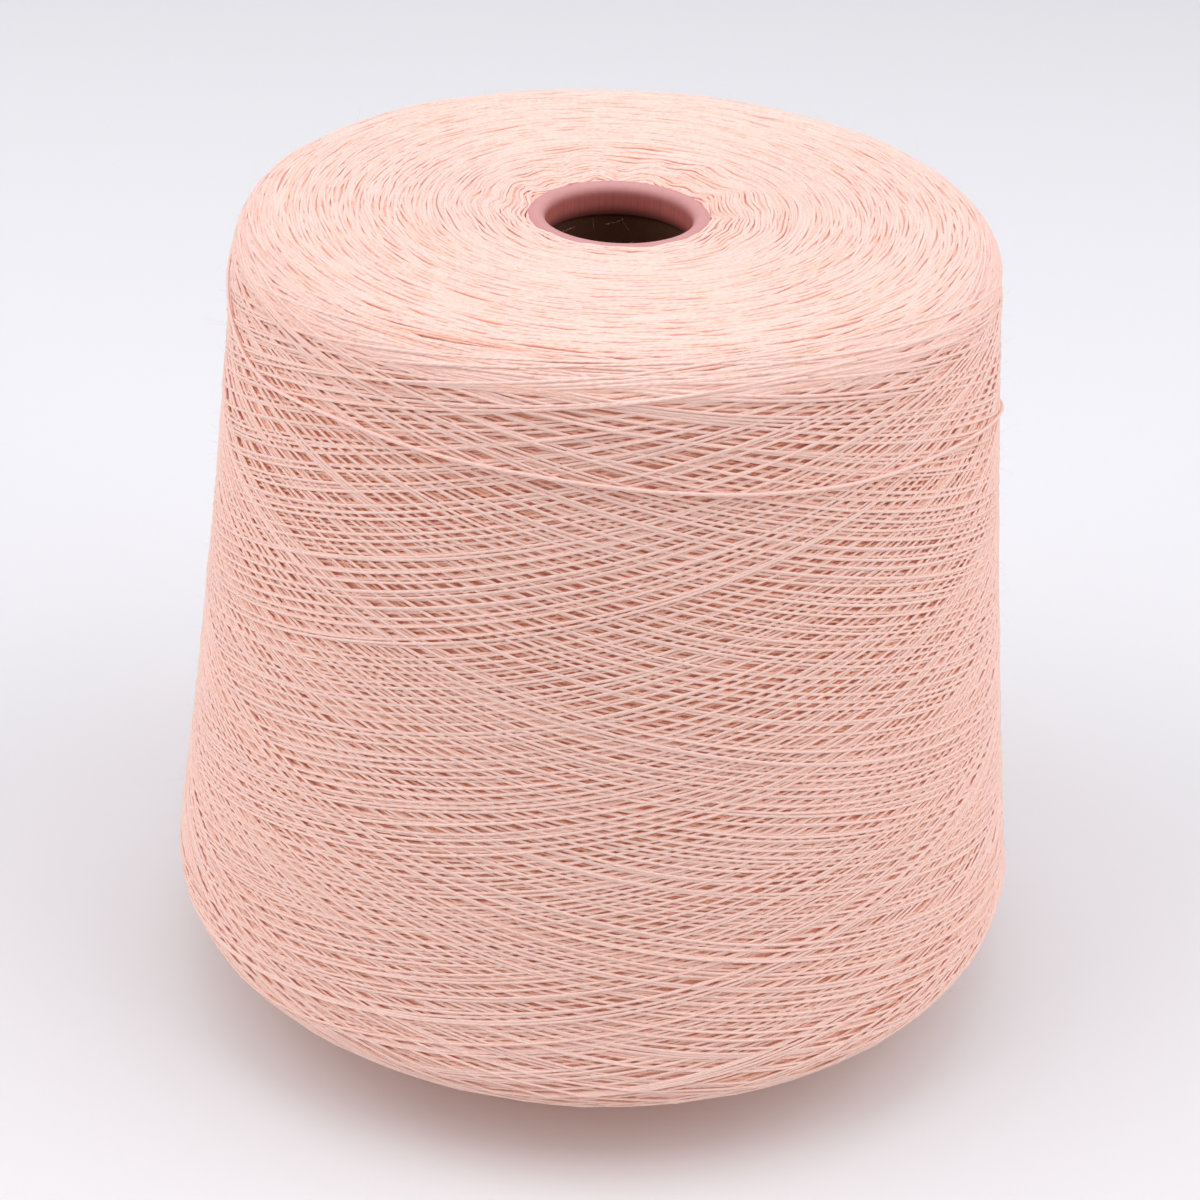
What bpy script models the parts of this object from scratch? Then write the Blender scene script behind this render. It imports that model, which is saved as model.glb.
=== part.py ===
"""A cone of yarn: a cross-wound yarn package on a paper winding cone with a rolled nose.

Units are metres and +Z is up. The origin is the centre of the cone's cut base edge, which
is what the cone stands on, so the axis of the winding is the Z axis.
"""

from math import acos, atan2, cos, pi, radians, sin, sqrt, tan

import bmesh
import bpy
from mathutils import Vector

MM = 0.001

# Every piece is turned about Z with the same number of steps, so that facing walls keep
# one even gap between their flats.
SEGMENTS = 72
SEAT_GAP = 0.3 * MM

# Paper cone.
CONE_LENGTH = 168.3 * MM
CONE_HALF_ANGLE = radians(5.95)
CONE_BASE_RADIUS = 34.7 * MM
PAPER_WALL = 2.6 * MM
LIP_OUTER_RADIUS = 18.15 * MM
LIP_INNER_RADIUS = 14.35 * MM
LIP_UNDERCUT = radians(-50.0)
BAND_DEPTH = 4.5 * MM
BAND_STEP_LENGTH = 0.5 * MM

# Yarn package. The corners are where the straight faces would meet if they weren't rounded.
TRAVERSE = 152.0 * MM
BOTTOM_CORNER_RADIUS = 91.3 * MM
TOP_CORNER_RADIUS = 73.5 * MM
BOTTOM_CORNER_HEIGHT = 17.7 * MM
BOTTOM_SHOULDER = 8.6 * MM
TOP_SHOULDER = 8.8 * MM
SIDE_DRAW_IN = 0.9 * MM
UNDERSIDE_SLOPE = radians(6.4)
TOP_FACE_HEIGHT = 169.8 * MM
NOSE_DIP = 2.0 * MM
NOSE_DIP_RADIUS = 43.0 * MM
YARN_RIM_ANGLE = radians(38.0)

# Low relief of the winding: crossing ridges on the side, puckers round the nose.
RIDGES_AROUND = 8
RIDGE_HEIGHT = 0.6 * MM
WIND_ANGLE = radians(14.0)
PUCKERS_AROUND = 12
PUCKER_HEIGHT = 0.3 * MM
PUCKER_RADIUS = 27.0 * MM
PUCKER_REACH = 9.0 * MM

# How finely each stretch of an outline is cut.
SHOULDER_STEPS = 5
SIDE_STEPS = 34
TOP_FACE_STEPS = 9
UNDERSIDE_STEPS = 4
LIP_STEPS = 8
RIM_STEPS = 4
BORE_STEPS = 3

YARN_COLOUR = (0.80, 0.53, 0.45, 1.0)
PAPER_COLOUR = (0.72, 0.36, 0.34, 1.0)


def cone_radius(height):
    """Outer radius of the bare paper cone at a height."""
    return CONE_BASE_RADIUS - height * tan(CONE_HALF_ANGLE)


def arc(centre, radius, start, end, steps):
    """Points on an arc of an outline, from angle start to angle end, 0 being outwards."""
    turns = [start + (end - start) * step / steps for step in range(steps + 1)]
    return [(centre[0] + radius * cos(turn), centre[1] + radius * sin(turn)) for turn in turns]


def straight(start, end, steps):
    """Points on a straight stretch of an outline, without its two ends."""
    shares = [step / steps for step in range(1, steps)]
    return [tuple(a + (b - a) * share for a, b in zip(start, end)) for share in shares]


def rounded_corner(corner, before, after, radius, steps):
    """An arc that rounds a corner, between the directions back along each face."""
    corner = Vector(corner)
    before = Vector(before).normalized()
    after = Vector(after).normalized()
    half_angle = acos(before.dot(after)) / 2
    centre = corner + (before + after).normalized() * radius / sin(half_angle)
    start_point = corner + before * radius / tan(half_angle) - centre
    end_point = corner + after * radius / tan(half_angle) - centre
    start = atan2(start_point.y, start_point.x)
    end = atan2(end_point.y, end_point.x)
    return arc(centre, radius, start, end, steps)


LIP_RADIUS = (LIP_OUTER_RADIUS - LIP_INNER_RADIUS) / 2
LIP_CENTRE = ((LIP_OUTER_RADIUS + LIP_INNER_RADIUS) / 2, CONE_LENGTH - LIP_RADIUS)


def paper_cone_outline():
    """Cut base edge, straight outside, rolled lip, turned-in band, then the bare bore."""
    lip = arc(LIP_CENTRE, LIP_RADIUS, LIP_UNDERCUT, pi, LIP_STEPS)
    outside = straight((CONE_BASE_RADIUS, 0.0), lip[0], BORE_STEPS)
    band_end = LIP_CENTRE[1] - BAND_DEPTH
    bore_start = band_end - BAND_STEP_LENGTH
    bore_top = (cone_radius(bore_start) - PAPER_WALL, bore_start)
    bore_base = (CONE_BASE_RADIUS - PAPER_WALL, 0.0)
    band = [(LIP_INNER_RADIUS, band_end), bore_top]
    bore = straight(bore_top, bore_base, BORE_STEPS)
    return [(CONE_BASE_RADIUS, 0.0)] + outside + lip + band + bore + [bore_base]


def top_face_height(radius):
    """Height of the wound top face: level outside, dipping smoothly to the nose."""
    rim = LIP_OUTER_RADIUS + SEAT_GAP
    share = (NOSE_DIP_RADIUS - radius) / (NOSE_DIP_RADIUS - rim)
    return TOP_FACE_HEIGHT - NOSE_DIP * max(share, 0.0) ** 2


def side_stretch(start, end):
    """The side of the package between its shoulders, drawn in a little at mid height."""
    along = Vector(end) - Vector(start)
    outward = Vector((along.y, -along.x)).normalized()
    points = []
    for step in range(1, SIDE_STEPS):
        share = step / SIDE_STEPS
        point = Vector(start) + along * share - outward * SIDE_DRAW_IN * sin(pi * share)
        points.append(tuple(point))
    return points


def yarn_package_outline():
    """Underside, bottom shoulder, side, top shoulder, top face, rim at the nose, bore."""
    top_corner_height = BOTTOM_CORNER_HEIGHT + TRAVERSE
    bottom_corner = Vector((BOTTOM_CORNER_RADIUS, BOTTOM_CORNER_HEIGHT))
    top_corner = Vector((TOP_CORNER_RADIUS, top_corner_height))
    side = top_corner - bottom_corner
    inwards_below = Vector((-cos(UNDERSIDE_SLOPE), -sin(UNDERSIDE_SLOPE)))
    inwards_above = Vector((-1.0, 0.0))
    bottom = rounded_corner(bottom_corner, inwards_below, side, BOTTOM_SHOULDER, SHOULDER_STEPS)
    top = rounded_corner(top_corner, -side, inwards_above, TOP_SHOULDER, SHOULDER_STEPS)
    # The bore lies one seat gap outside the paper, measured across the gap.
    gap_across = SEAT_GAP / cos(CONE_HALF_ANGLE)
    rim = arc(LIP_CENTRE, LIP_RADIUS + SEAT_GAP, YARN_RIM_ANGLE, LIP_UNDERCUT, RIM_STEPS)
    reach = BOTTOM_CORNER_RADIUS - CONE_BASE_RADIUS
    underside_height = BOTTOM_CORNER_HEIGHT - reach * tan(UNDERSIDE_SLOPE)
    bore_base = (cone_radius(underside_height) + gap_across, underside_height)
    bore_top_height = rim[-1][1] - LIP_RADIUS
    bore_top = (cone_radius(bore_top_height) + gap_across, bore_top_height)
    underside = straight(bore_base, bottom[0], UNDERSIDE_STEPS)
    face_start = top[-1][0]
    face = []
    for step in range(1, TOP_FACE_STEPS):
        radius = face_start + (rim[0][0] - face_start) * step / TOP_FACE_STEPS
        face.append((radius, top_face_height(radius)))
    bore = [bore_top] + straight(bore_top, bore_base, BORE_STEPS)
    below = [bore_base] + underside + bottom
    above = top + face + rim + bore
    return below + side_stretch(bottom[-1], top[0]) + above


def crossing_ridges(angle, height):
    """Relief of the cross winding, from -1 to 1: two families of ridges that cross."""
    mid_radius = (BOTTOM_CORNER_RADIUS + TOP_CORNER_RADIUS) / 2
    turn = (height - BOTTOM_CORNER_HEIGHT) / (mid_radius * tan(WIND_ANGLE))
    rising = cos(RIDGES_AROUND * (angle - turn))
    falling = cos(RIDGES_AROUND * (angle + turn))
    return (rising + falling) / 2


def wound_surface(point):
    """Moves a point of the plain turned package onto the low relief of the winding."""
    radius = sqrt(point.x ** 2 + point.y ** 2)
    angle = atan2(point.y, point.x)
    share = (point.z - BOTTOM_CORNER_HEIGHT) / TRAVERSE
    if 0.0 < share < 1.0 and radius > TOP_CORNER_RADIUS - TOP_SHOULDER:
        depth = RIDGE_HEIGHT * sin(pi * share) * (crossing_ridges(angle, point.z) - 1.0) / 2
        scale = 1.0 + depth / radius
        return Vector((point.x * scale, point.y * scale, point.z))
    from_pucker = (radius - PUCKER_RADIUS) / PUCKER_REACH
    if point.z > TOP_FACE_HEIGHT - NOSE_DIP and abs(from_pucker) < 1.0:
        fade = cos(from_pucker * pi / 2)
        drop = PUCKER_HEIGHT * fade * (cos(PUCKERS_AROUND * angle) - 1.0) / 2
        return Vector((point.x, point.y, point.z + drop))
    return point


def finish(name, colour, roughness):
    """A plain dielectric finish."""
    material = bpy.data.materials.new(name)
    material.use_nodes = True
    shader = material.node_tree.nodes["Principled BSDF"]
    shader.inputs["Base Color"].default_value = colour
    shader.inputs["Roughness"].default_value = roughness
    shader.inputs["Metallic"].default_value = 0.0
    return material


def turned(name, outline, material, surface=None):
    """One closed solid: an outline of (radius, height) points spun once round the Z axis."""
    shape = bmesh.new()
    points = [shape.verts.new((radius, 0.0, height)) for radius, height in outline]
    edges = [shape.edges.new(pair) for pair in zip(points, points[1:] + points[:1])]
    bmesh.ops.spin(shape, geom=points + edges, cent=(0, 0, 0), axis=(0, 0, 1),
                   angle=2 * pi, steps=SEGMENTS, use_merge=True)
    if surface:
        for vertex in shape.verts:
            vertex.co = surface(vertex.co)
    bmesh.ops.recalc_face_normals(shape, faces=shape.faces)
    mesh = bpy.data.meshes.new(name)
    shape.to_mesh(mesh)
    shape.free()
    mesh.shade_smooth()
    mesh.set_sharp_from_angle(angle=radians(50))
    mesh.materials.append(material)
    piece = bpy.data.objects.new(name, mesh)
    bpy.context.collection.objects.link(piece)
    return piece


def main():
    for old in list(bpy.data.objects):
        bpy.data.objects.remove(old)
    yarn = finish("yarn", YARN_COLOUR, 0.95)
    paper = finish("paper", PAPER_COLOUR, 0.75)
    turned("paper_cone", paper_cone_outline(), paper)
    turned("yarn_package", yarn_package_outline(), yarn, wound_surface)


main()
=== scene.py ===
"""The looks of a cone of yarn: fine yarn cross-wound on a paper cone with a rolled nose.

The winding is laid as it is on a winding machine. One thread goes up and down the package,
each traverse pulled tight over what lies under it, so that threads cross, bridge and leave
the small deep gaps of a real package. Lengths in the winding code are in millimetres.
"""

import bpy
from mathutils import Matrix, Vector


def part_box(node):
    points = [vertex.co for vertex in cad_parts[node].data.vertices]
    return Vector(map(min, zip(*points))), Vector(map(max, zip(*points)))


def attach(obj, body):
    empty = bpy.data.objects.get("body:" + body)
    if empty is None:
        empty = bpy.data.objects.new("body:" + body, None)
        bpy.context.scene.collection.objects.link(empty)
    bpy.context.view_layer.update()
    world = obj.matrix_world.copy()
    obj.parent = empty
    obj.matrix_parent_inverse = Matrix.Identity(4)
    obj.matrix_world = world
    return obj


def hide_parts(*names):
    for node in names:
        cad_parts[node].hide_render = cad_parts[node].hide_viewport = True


bl_info = {
    "name": "Cone of Yarn",
    "version": (1, 0, 0),
    "blender": (4, 5, 0),
    "location": "3D View > Sidebar > Yarn",
    "description": "Winds a cone of fine yarn on its paper core and lights it on a pale floor",
    "category": "Add Mesh",
}

from collections import namedtuple
from math import cos, pi, radians, sin, tan

import bpy
import numpy as np
from bpy.props import FloatProperty, FloatVectorProperty, IntProperty, PointerProperty
from mathutils import Matrix, Vector

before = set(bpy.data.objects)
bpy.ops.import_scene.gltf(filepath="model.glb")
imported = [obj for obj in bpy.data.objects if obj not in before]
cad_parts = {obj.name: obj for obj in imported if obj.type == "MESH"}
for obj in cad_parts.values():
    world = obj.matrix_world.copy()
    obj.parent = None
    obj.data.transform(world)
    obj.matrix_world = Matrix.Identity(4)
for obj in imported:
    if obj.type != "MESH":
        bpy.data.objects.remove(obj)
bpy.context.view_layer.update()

MM = 0.001
_, CONE_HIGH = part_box("paper_cone")
_, PACKAGE_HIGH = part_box("yarn_package")

# The paper cone, in millimetres.
CONE_LENGTH = CONE_HIGH.z / MM
CONE_BASE_RADIUS = CONE_HIGH.x / MM
CONE_TAPER = tan(radians(5.95))
PAPER_WALL = 2.6
LIP_OUTER_RADIUS = 18.15
LIP_INNER_RADIUS = 14.35
BAND_DEPTH = 4.5

# The wound form, in millimetres: the corners are where its faces would meet unrounded.
TRAVERSE = 152.0
BOTTOM_CORNER_RADIUS = 91.3
TOP_CORNER_RADIUS = 73.5
BOTTOM_CORNER_HEIGHT = 17.7
BOTTOM_SHOULDER = 8.6
TOP_SHOULDER = 8.8
SIDE_DRAW_IN = 0.9
UNDERSIDE_SLOPE = radians(6.4)
TOP_FACE_HEIGHT = PACKAGE_HIGH.z / MM
NOSE_DIP = 2.0
NOSE_DIP_RADIUS = 43.0
SEAT_GAP = 0.3
NOSE_RIM_RADIUS = LIP_OUTER_RADIUS + SEAT_GAP
INNERMOST_LOOP = 17.3
PUCKERED_RADIUS = 37.0

SEED = 20
TAU = 2 * pi


# ---- sizes and colours to set


def length_setting(name, description, default, lowest, highest):
    return FloatProperty(name=name, description=description, default=default * MM,
                         min=lowest * MM, max=highest * MM, unit="LENGTH", precision=5)


def count_setting(name, description, default, lowest, highest):
    return IntProperty(name=name, description=description, default=default,
                       min=lowest, max=highest)


def colour_setting(name, description, default):
    return FloatVectorProperty(name=name, description=description, subtype="COLOR", size=3,
                               default=default, min=0, max=1)


class YarnSizes(bpy.types.PropertyGroup):
    thread: length_setting(
        "Thread width", "Width of the yarn as it lies on the package", 0.66, 0.2, 3)
    winding_depth: length_setting(
        "Winding depth", "Depth below the surface at which winding starts", 1.3, 0.5, 8)
    hidden_traverses: count_setting(
        "Hidden traverses", "Traverses laid first, to start from a wound surface", 60, 2, 400)
    deep_traverses: count_setting(
        "Deep traverses", "Traverses of the lowest layers that show in gaps", 300, 2, 400)
    middle_traverses: count_setting(
        "Middle traverses", "Traverses between the deep and the outer ones", 210, 2, 400)
    outer_traverses: count_setting(
        "Outer traverses", "Last traverses, which show all over", 155, 2, 400)
    top_turns: count_setting(
        "Top turns", "Turn-round arcs that show on the top face", 2280, 10, 3000)
    underside_turns: count_setting(
        "Underside turns", "Turn-round arcs that show on the underside", 800, 10, 3000)
    nose_loops: count_setting(
        "Nose loops", "Puckered turn-round loops round the paper nose", 560, 5, 900)
    hairs: count_setting("Hairs", "Loose fibre ends that stand off the yarn", 3600, 10, 9000)
    bore_fibres: count_setting(
        "Bore fibres", "Loose fibres that hang in the mouth of the bore", 14, 0, 500)


class YarnColours(bpy.types.PropertyGroup):
    yarn_pale: colour_setting(
        "Pale fibres", "Lighter fibres of the yarn's blend", (0.94, 0.67, 0.595))
    # Redder fibres of the blend, and also painted shade: the threads of the deeper layers lean to
    # this darker, redder colour.
    yarn_red_and_depth_shade: colour_setting(
        "Deep fibres", "Redder fibres of the yarn's blend", (0.90, 0.51, 0.39))
    glow: colour_setting(
        "Glow in gaps", "Light that comes through the threads into the gaps", (1.0, 0.42, 0.23))
    paper: colour_setting(
        "Nose paper", "Colour of the coloured paper of the nose", (0.60, 0.295, 0.285))
    board: colour_setting(
        "Raw board", "Colour of the bare board inside the bore", (0.13, 0.055, 0.03))


class StudioSettings(bpy.types.PropertyGroup):
    floor: colour_setting("Floor", "Colour of the floor and its sweep", (0.798, 0.808, 0.822))
    top_power: FloatProperty(
        name="Top light", description="Power of the soft light overhead",
        default=15.0, min=0, unit="POWER")
    side_power: FloatProperty(
        name="Side lights", description="Power of each soft light at the sides",
        default=12.0, min=0, unit="POWER")
    fill: FloatProperty(
        name="Fill", description="Strength of the even light from all round",
        default=0.262, min=0, max=2)


# ---- shader nodes


class Wire:
    """A value or colour on its way through a material's nodes; sums on it add Math nodes."""

    def __init__(self, paint, socket):
        self.paint = paint
        self.socket = socket

    def maths(self, operation, first, second):
        return self.paint.add("ShaderNodeMath", {"operation": operation}, {0: first, 1: second})

    def __add__(self, other):
        return self.maths("ADD", self, other)

    def __radd__(self, other):
        return self.maths("ADD", other, self)

    def __mul__(self, other):
        return self.maths("MULTIPLY", self, other)

    def __rmul__(self, other):
        return self.maths("MULTIPLY", other, self)


class Paint:
    """A material under construction, with its main shader and the nodes that feed it."""

    def __init__(self, name, roughness, **constants):
        self.material = bpy.data.materials.new(name)
        self.material.use_nodes = True
        self.tree = self.material.node_tree
        self.shader = self.tree.nodes["Principled BSDF"]
        self.shader.inputs["Roughness"].default_value = roughness
        for socket, value in constants.items():
            self.shader.inputs[socket.replace("_", " ")].default_value = value

    def add(self, kind, settings=None, inputs=None, output=0):
        """A node of a kind: its settings first, then the values or links of its sockets."""
        node = self.tree.nodes.new(kind)
        for name, value in (settings or {}).items():
            setattr(node, name, value)
        for name, value in (inputs or {}).items():
            if isinstance(value, Wire):
                self.tree.links.new(value.socket, node.inputs[name])
            else:
                node.inputs[name].default_value = value
        return Wire(self, node.outputs[output])

    def blend(self, share, first, second):
        """A colour between two colours."""
        colours = [c if isinstance(c, Wire) else (*c, 1.0) for c in (first, second)]
        inputs = {"Factor": share, 6: colours[0], 7: colours[1]}
        return self.add("ShaderNodeMix", {"data_type": "RGBA"}, inputs, output=2)

    def ramp(self, value, low, high):
        """A value turned into 0 to 1 between low and high, with soft ends."""
        inputs = {"Value": value, "From Min": low, "From Max": high}
        return self.add("ShaderNodeMapRange", {"interpolation_type": "SMOOTHSTEP"}, inputs)

    def noise(self, place, scale, detail=2.0, roughness=0.5):
        inputs = {"Vector": place, "Scale": scale, "Detail": detail, "Roughness": roughness}
        return self.add("ShaderNodeTexNoise", None, inputs)

    def stretch(self, place, scale):
        """A place with each axis scaled by its own factor."""
        return self.add("ShaderNodeMapping", None, {"Vector": place, "Scale": scale})

    def axis(self, place, name):
        """One axis of a place, as a value."""
        split = self.add("ShaderNodeSeparateXYZ", None, {"Vector": place})
        return Wire(self, split.socket.node.outputs[name])

    def object_place(self):
        return self.add("ShaderNodeTexCoord", output="Object")

    def along_thread(self):
        return self.add("ShaderNodeUVMap", {"uv_map": "thread"})

    def feed(self, socket, wire):
        self.tree.links.new(wire.socket, self.shader.inputs[socket])

    def relief(self, height, distance, strength=1.0):
        inputs = {"Height": height, "Distance": distance, "Strength": strength}
        self.feed("Normal", self.add("ShaderNodeBump", None, inputs))


def scaled(colour, share):
    """A colour made darker or lighter."""
    return tuple(value * share for value in colour)


# Light that passes through the threads and shows in the gaps, as a faint emission.
GLOW = 0.085

# The yarn's twist, in millimetres and plies, and its noise, as steps along and round a thread.
TWIST_PITCH = 1.9
PLIES = 2.0
FIBRE_STREAKS = (0.9, 14.0, 1.0)
SLUBS = (0.11, 0.0, 1.0)

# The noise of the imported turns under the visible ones, as steps in a metre.
PACKED_GRAIN = (60.0, 60.0, 900.0)

# How the paper's colour is dulled inside the nose as painted shade, and from and to which depths,
# in millimetres, the painted shade grows and then goes dark.
BAND_SHADE_TINT = (0.66, 0.36, 0.32)
BAND_SHADE_DEPTHS = (0.2, 2.6)
BAND_DARKENED = (4.2, 6.9)


def yarn_paint(colours):
    """Two-ply spun yarn: twist ridges, fibre streaks and slow changes of tone along it."""
    paint = Paint("spun_yarn", 0.95, Specular_IOR_Level=0.1, Emission_Strength=GLOW,
                  Sheen_Weight=0.41, Sheen_Roughness=0.5, Sheen_Tint=(1.0, 0.93, 0.9, 1.0))
    thread = paint.along_thread()
    tone = paint.add("ShaderNodeAttribute", {"attribute_name": "tone"}, output="Fac")
    along = paint.axis(thread, "X")
    around = paint.axis(thread, "Y")
    turned = (along * (1 / TWIST_PITCH) + around * PLIES) * TAU
    twist = paint.add("ShaderNodeMath", {"operation": "SINE"}, {0: turned})
    fibres = paint.noise(paint.stretch(thread, FIBRE_STREAKS), scale=1.0, detail=3.0, roughness=0.6)
    slubs = paint.noise(paint.stretch(thread, SLUBS), scale=1.0)
    # Painted shade and glow: a low tone, which the deeper layers get, makes the colour darker and
    # redder and the glow stronger.
    shade = paint.ramp(tone * 0.8 + slubs * 0.2 + fibres * 0.2, low=0.15, high=1.0)
    colour = paint.blend(shade, tuple(colours.yarn_red_and_depth_shade), tuple(colours.yarn_pale))
    paint.feed("Base Color", colour)
    faint = scaled(colours.glow, 0.4)
    lit = paint.blend(paint.ramp(tone, low=0.1, high=0.8), tuple(colours.glow), faint)
    paint.feed("Emission Color", lit)
    paint.relief(twist * 0.6 + fibres * 0.6, distance=0.08 * MM, strength=0.6)
    return paint.material


def wound_body_paint(colours):
    """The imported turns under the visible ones, as fine level streaks."""
    paint = Paint("packed_turns", 0.95, Specular_IOR_Level=0.1, Emission_Strength=GLOW)
    place = paint.stretch(paint.object_place(), PACKED_GRAIN)
    grain = paint.noise(place, scale=1.0, detail=3.0)
    colour = paint.blend(grain, tuple(colours.yarn_red_and_depth_shade), tuple(colours.yarn_pale))
    paint.feed("Base Color", colour)
    paint.feed("Emission Color", paint.blend(grain, tuple(colours.glow), (0, 0, 0)))
    paint.relief(grain, distance=0.5 * MM)
    return paint.material


def paper_paint(colours):
    """Coloured paper on the nose and outside, bare brown board inside below the band."""
    paint = Paint("cone_paper", 0.7, Specular_IOR_Level=0.3)
    place = paint.object_place()
    mottle = paint.noise(place, scale=900.0, detail=4.0, roughness=0.6)
    scuffs = paint.noise(place, scale=160.0, detail=3.0, roughness=0.55)
    level = paint.add("ShaderNodeVectorMath", {"operation": "MULTIPLY"}, {0: place, 1: (1, 1, 0)})
    radius = paint.add("ShaderNodeVectorMath", {"operation": "LENGTH"}, {0: level}, output=1)
    outwards = paint.add("ShaderNodeVectorMath", {"operation": "NORMALIZE"}, {0: level})
    crimps = paint.noise(outwards, scale=26.0, detail=1.0)
    pale = tuple(min(value * 1.15 + 0.02, 1.0) for value in colours.paper)
    outside = paint.blend(mottle * 0.5 + scuffs * 0.5, scaled(colours.paper, 0.88), pale)
    # Painted shade inside the nose: the paper there is darker and redder, and darker still lower
    # down towards the bore.
    shaded_band = tuple(value * share for value, share in zip(colours.paper, BAND_SHADE_TINT))
    creased = paint.ramp(crimps * 0.6 + mottle * 0.4, low=0.2, high=0.8)
    crimped = paint.blend(creased, shaded_band, scaled(shaded_band, 1.3))
    inwards = paint.ramp(radius, (LIP_OUTER_RADIUS - 1.7) * MM, (LIP_INNER_RADIUS + 0.3) * MM)
    height = paint.axis(place, "Z")
    below, lower = (
        paint.ramp(height, (CONE_LENGTH - first) * MM, (CONE_LENGTH - last) * MM)
        for first, last in (BAND_SHADE_DEPTHS, BAND_DARKENED))
    # The painted shade of the inner band is blended in, then darkened further lower down.
    pink = paint.blend(inwards * below, outside, crimped)
    pink = paint.blend(inwards * lower, pink, scaled(shaded_band, 0.3))
    brown = paint.blend(mottle, tuple(colours.board), scaled(colours.board, 1.5))
    is_bore = paint.add("ShaderNodeAttribute", {"attribute_name": "bare_board"}, output="Fac")
    paint.feed("Base Color", paint.blend(is_bore, pink, brown))
    paint.relief(mottle * 0.5 + crimps * 0.5, distance=0.12 * MM, strength=0.6)
    return paint.material


# ---- the wound form


ARC_POINTS = 40
WALL_POINTS = 120
FACE_POINTS = 60


def sums(values):
    """The running sum of the values, from 0."""
    return np.concatenate([[0.0], np.cumsum(values)])


def integral(values, steps):
    """The running integral of the values over the steps between them, from 0."""
    return sums((values[1:] + values[:-1]) / 2 * steps)


def step_lengths(points):
    return np.linalg.norm(np.diff(points, axis=0), axis=1)


def unit_rows(vectors):
    return vectors / np.linalg.norm(vectors, axis=1)[:, None]


def face_height(radius):
    """Height of the top face at a radius: level outside, dipping to the nose."""
    share = (NOSE_DIP_RADIUS - radius) / (NOSE_DIP_RADIUS - NOSE_RIM_RADIUS)
    return TOP_FACE_HEIGHT - NOSE_DIP * np.maximum(share, 0.0) ** 2


def rounded_corner(corner, before, after, radius, steps):
    """Points on the arc that rounds a corner between the directions back along each face."""
    corner, before, after = (np.array(v, float) for v in (corner, before, after))
    before /= np.linalg.norm(before)
    after /= np.linalg.norm(after)
    half = np.arccos(before @ after) / 2
    middle = (before + after) / np.linalg.norm(before + after)
    centre = corner + middle * radius / np.sin(half)
    ends = [corner + way * radius / np.tan(half) - centre for way in (before, after)]
    start, stop = (np.arctan2(end[1], end[0]) for end in ends)
    turn = np.linspace(start, stop, steps)
    return centre + radius * np.stack([np.cos(turn), np.sin(turn)], axis=1)


class WoundForm:
    """The outline of the package, read by the distance along it.

    Distance 0 is where the underside starts to round into the side; it grows up the side,
    over the top shoulder and in across the top face to the nose.
    """

    def __init__(self):
        bottom_corner = np.array([BOTTOM_CORNER_RADIUS, BOTTOM_CORNER_HEIGHT])
        top_corner = np.array([TOP_CORNER_RADIUS, BOTTOM_CORNER_HEIGHT + TRAVERSE])
        side = top_corner - bottom_corner
        below = np.array([-cos(UNDERSIDE_SLOPE), -sin(UNDERSIDE_SLOPE)])
        bottom = rounded_corner(bottom_corner, below, side, BOTTOM_SHOULDER, ARC_POINTS)
        top = rounded_corner(top_corner, -side, (-1.0, 0.0), TOP_SHOULDER, ARC_POINTS)
        inner = bottom[0] + below * (bottom[0][0] - CONE_BASE_RADIUS - 1.0)
        share = np.linspace(0, 1, WALL_POINTS)[1:-1, None]
        outward = np.array([side[1], -side[0]]) / np.linalg.norm(side)
        wall = bottom[-1] + (top[0] - bottom[-1]) * share
        wall -= outward * SIDE_DRAW_IN * np.sin(pi * share)
        radius = np.linspace(top[-1][0], INNERMOST_LOOP, FACE_POINTS)[1:]
        face = np.stack([radius, face_height(radius)], axis=1)
        underside = inner + (bottom[0] - inner) * np.linspace(0, 1, ARC_POINTS)[:-1, None]
        points = np.concatenate([underside, bottom, wall, top, face])
        distance = sums(step_lengths(points))
        self.distance = distance - distance[len(underside)]
        self.points = points
        along = unit_rows(np.gradient(points, self.distance, axis=0))
        self.outward = np.stack([along[:, 1], -along[:, 0]], axis=1)
        self.side_start = self.distance[len(underside) + len(bottom) - 1]
        self.side_end = self.distance[len(underside) + len(bottom) + len(wall)]
        self.face_start = self.side_end + step_lengths(top).sum()
        self.face_end = self.distance[-1]
        self.underside_start = self.distance[0]

    def read(self, table, distance):
        return np.interp(distance, self.distance, table)

    def radius(self, distance):
        return self.read(self.points[:, 0], distance)

    def height(self, distance):
        return self.read(self.points[:, 1], distance)

    def lean(self, distance):
        """The outward part of the surface's normal: 1 on an upright wall, 0 on a level face."""
        return self.read(self.outward[:, 0], distance)

    def place(self, angle, distance, lift):
        """Points on the form, lifted off it, and the surface's normals there."""
        normal_out = self.lean(distance)
        normal_up = self.read(self.outward[:, 1], distance)
        size = np.hypot(normal_out, normal_up)
        normal_out, normal_up = normal_out / size, normal_up / size
        radius = self.radius(distance) + normal_out * lift
        height = self.height(distance) + normal_up * lift
        points = np.stack([radius * np.cos(angle), radius * np.sin(angle), height], axis=1)
        normals = [normal_out * np.cos(angle), normal_out * np.sin(angle), normal_up]
        return points, np.stack(normals, axis=1)


# ---- threads as tubes


def linked(name, data):
    """A new object in the scene that shows the data."""
    item = bpy.data.objects.new(name, data)
    bpy.context.scene.collection.objects.link(item)
    return item


def finish_piece(piece, slot, *nodes):
    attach(piece, "root")
    if nodes:
        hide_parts(*nodes)


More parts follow.
